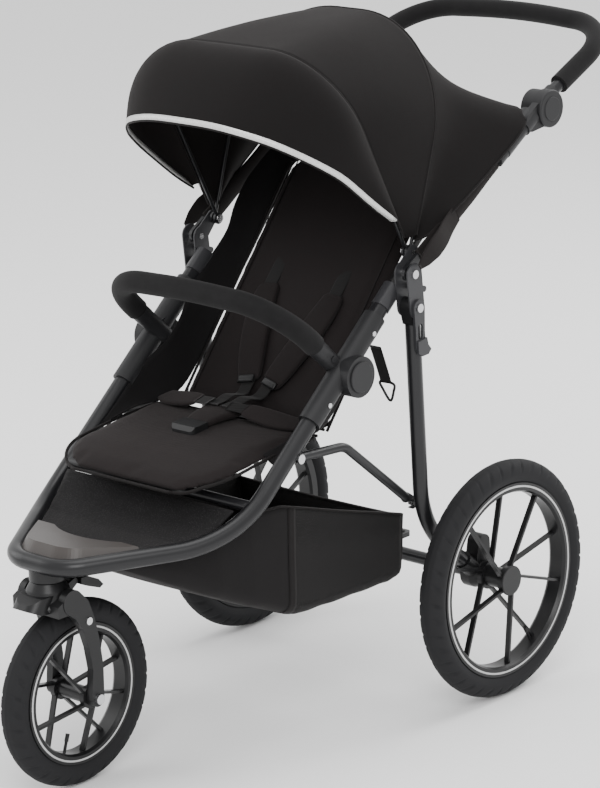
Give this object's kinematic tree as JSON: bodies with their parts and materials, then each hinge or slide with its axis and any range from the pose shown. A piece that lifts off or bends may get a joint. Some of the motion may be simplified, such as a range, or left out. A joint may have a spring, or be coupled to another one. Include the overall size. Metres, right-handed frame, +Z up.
{
  "type": "jogging stroller",
  "caption": "Three-wheeled folding stroller with a swivelling front wheel, reclining padded seat, hooped fabric canopy, bumper bar, storage basket and a tilting U-shaped push handle",
  "frame": {"origin": "on the ground, under the middle of the whole stroller", "axes": "+Z up; the stroller faces -Y, the handlebar is at +Y; +X is the seated child's left"},
  "size_m": [0.608, 1.2848, 1.1198],
  "materials": {
    "satin_black_tube": "satin black powder coat",
    "dark_grey_plastic": "moulded dark grey plastic, fine grain",
    "black_plastic": "moulded black plastic",
    "bracket_grey": "dark grey painted steel plate",
    "silver_steel": "bright zinc-plated steel",
    "black_fabric": "tightly woven near-black polyester",
    "seat_fabric": "padded near-black polyester with piping",
    "basket_fabric": "near-black polyester with a mesh rear part",
    "strap_webbing": "black padded webbing",
    "grip_foam": "black foam cover",
    "tyre_rubber": "charcoal tyre with shallow shoulder grooves",
    "wheel_plastic": "black moulded wheel",
    "nose_satin": "satin brown-grey plastic"
  },
  "bodies": {
    "frame": {"front_frame_tube": "satin_black_tube", "upper_side_tubes": "satin_black_tube", "hub_connectors": "dark_grey_plastic", "connector_caps": "dark_grey_plastic", "fold_brackets": "bracket_grey", "pivot_pins": "silver_steel", "seat_cross_tube": "satin_black_tube", "footrest_panel": "black_fabric", "nose_plate": "nose_satin", "steering_head": "black_plastic", "seat_cushion": "seat_fabric", "basket": "basket_fabric", "braces": "satin_black_tube", "frame_bolts": "silver_steel", "canopy_rear_hoop": "satin_black_tube", "canopy_rear_panel": "black_fabric", "canopy_middle_panel": "black_fabric", "side_panels": "black_fabric", "crotch_strap": "strap_webbing", "harness_buckle": "black_plastic"},
    "rear_legs": {"rear_leg_left": "satin_black_tube", "rear_leg_right": "satin_black_tube", "leg_end_fittings": "black_plastic", "rear_cross_tube": "satin_black_tube", "axle_housings": "black_plastic", "rear_axles": "silver_steel", "brace_studs": "silver_steel"},
    "brake_pedal": {"brake_pedal": "black_plastic"},
    "rear_wheel_left": {"rear_tyre_left": "tyre_rubber", "rear_rim_left": "wheel_plastic", "rear_hub_cap_left": "black_plastic"},
    "rear_wheel_right": {"rear_tyre_right": "tyre_rubber", "rear_rim_right": "wheel_plastic", "rear_hub_cap_right": "black_plastic"},
    "fork": {"fork": "black_plastic", "steering_stem": "silver_steel", "front_axle_bolt": "silver_steel"},
    "swivel_lock": {"swivel_lock_lever": "black_plastic"},
    "front_wheel": {"front_tyre": "tyre_rubber", "front_rim": "wheel_plastic"},
    "handle": {"handle_links": "satin_black_tube", "handle_tubes": "dark_grey_plastic", "tilt_housings": "dark_grey_plastic"},
    "handlebar": {"tilt_hubs": "dark_grey_plastic", "handlebar_tube": "satin_black_tube", "handlebar_grip": "grip_foam"},
    "tilt_button_left": {"tilt_button_left": "dark_grey_plastic"},
    "tilt_button_right": {"tilt_button_right": "dark_grey_plastic"},
    "fold_lever_left": {"fold_lever_left": "bracket_grey"},
    "fold_lever_right": {"fold_lever_right": "bracket_grey"},
    "canopy_front": {"canopy_front_hoop": "satin_black_tube", "canopy_visor": "black_fabric"},
    "backrest": {"backrest": "seat_fabric", "shoulder_straps": "strap_webbing", "recline_strap": "strap_webbing"},
    "bumper": {"bumper_core": "satin_black_tube", "bumper_foam": "grip_foam", "bumper_collars": "dark_grey_plastic"},
    "bumper_button_left": {"bumper_button_left": "dark_grey_plastic"},
    "bumper_button_right": {"bumper_button_right": "dark_grey_plastic"}
  },
  "joints": [
    {"name": "handle_fold", "type": "hinge", "parent": "frame", "child": "handle", "pos_m": [0, 0.057, 0.741], "axis": [1, 0, 0], "range_deg": [0, 171], "deforming": ["canopy_rear_panel"]},
    {"name": "rear_leg_fold", "type": "hinge", "parent": "frame", "child": "rear_legs", "pos_m": [0, 0.062, 0.686], "axis": [1, 0, 0], "range_deg": [-41, 0], "deforming": ["basket"]},
    {"name": "brake_pedal_turn", "type": "hinge", "parent": "rear_legs", "child": "brake_pedal", "pos_m": [0, 0.22, 0.2], "axis": [1, 0, 0], "range_deg": [-20, 12]},
    {"name": "rear_wheel_left_spin", "type": "hinge", "parent": "rear_legs", "child": "rear_wheel_left", "pos_m": [0.2825, 0.22, 0.2], "axis": [1, 0, 0], "continuous": true},
    {"name": "rear_wheel_right_spin", "type": "hinge", "parent": "rear_legs", "child": "rear_wheel_right", "pos_m": [-0.2825, 0.22, 0.2], "axis": [1, 0, 0], "continuous": true},
    {"name": "caster_swivel", "type": "hinge", "parent": "frame", "child": "fork", "pos_m": [0, -0.533, 0.34], "axis": [0, 0, 1], "continuous": true},
    {"name": "swivel_lock_turn", "type": "hinge", "parent": "fork", "child": "swivel_lock", "pos_m": [0, -0.489, 0.334], "axis": [1, 0, 0], "range_deg": [0, 25]},
    {"name": "front_wheel_spin", "type": "hinge", "parent": "fork", "child": "front_wheel", "pos_m": [0, -0.486, 0.15], "axis": [1, 0, 0], "continuous": true},
    {"name": "handlebar_tilt", "type": "hinge", "parent": "handle", "child": "handlebar", "pos_m": [0, 0.403, 0.95], "axis": [-1, 0, 0], "range_deg": [-35, 45]},
    {"name": "tilt_button_left_press", "type": "slide", "parent": "handle", "child": "tilt_button_left", "axis": [-1, 0, 0], "range_m": [0, 0.003], "stiffness_N_per_m": 1500},
    {"name": "tilt_button_right_press", "type": "slide", "parent": "handle", "child": "tilt_button_right", "axis": [1, 0, 0], "range_m": [0, 0.003], "stiffness_N_per_m": 1500},
    {"name": "fold_lever_left_pull", "type": "hinge", "parent": "frame", "child": "fold_lever_left", "pos_m": [0.247, 0.062, 0.686], "axis": [1, 0, 0], "range_deg": [0, 30], "stiffness_Nm_per_rad": 1},
    {"name": "fold_lever_right_pull", "type": "hinge", "parent": "frame", "child": "fold_lever_right", "pos_m": [-0.247, 0.062, 0.686], "axis": [1, 0, 0], "range_deg": [0, 30], "stiffness_Nm_per_rad": 1},
    {"name": "canopy_fold", "type": "hinge", "parent": "frame", "child": "canopy_front", "pos_m": [0, 0.085, 0.768], "axis": [1, 0, 0], "range_deg": [-33, 0], "deforming": ["canopy_middle_panel"]},
    {"name": "backrest_recline", "type": "hinge", "parent": "frame", "child": "backrest", "pos_m": [0, -0.072, 0.486], "axis": [1, 0, 0], "range_deg": [-28, 0], "deforming": ["side_panels"]},
    {"name": "bumper_release", "type": "slide", "parent": "frame", "child": "bumper", "axis": [0, -0.7314, 0.682], "range_m": [0, 0.035]},
    {"name": "bumper_button_left_press", "type": "slide", "parent": "frame", "child": "bumper_button_left", "axis": [-1, 0, 0], "range_m": [0, 0.002], "stiffness_N_per_m": 1500},
    {"name": "bumper_button_right_press", "type": "slide", "parent": "frame", "child": "bumper_button_right", "axis": [1, 0, 0], "range_m": [0, 0.002], "stiffness_N_per_m": 1500}
  ],
  "couplings": [
    {"joint": "rear_leg_fold", "follows": "handle_fold", "ratio": -0.2339}
  ]
}
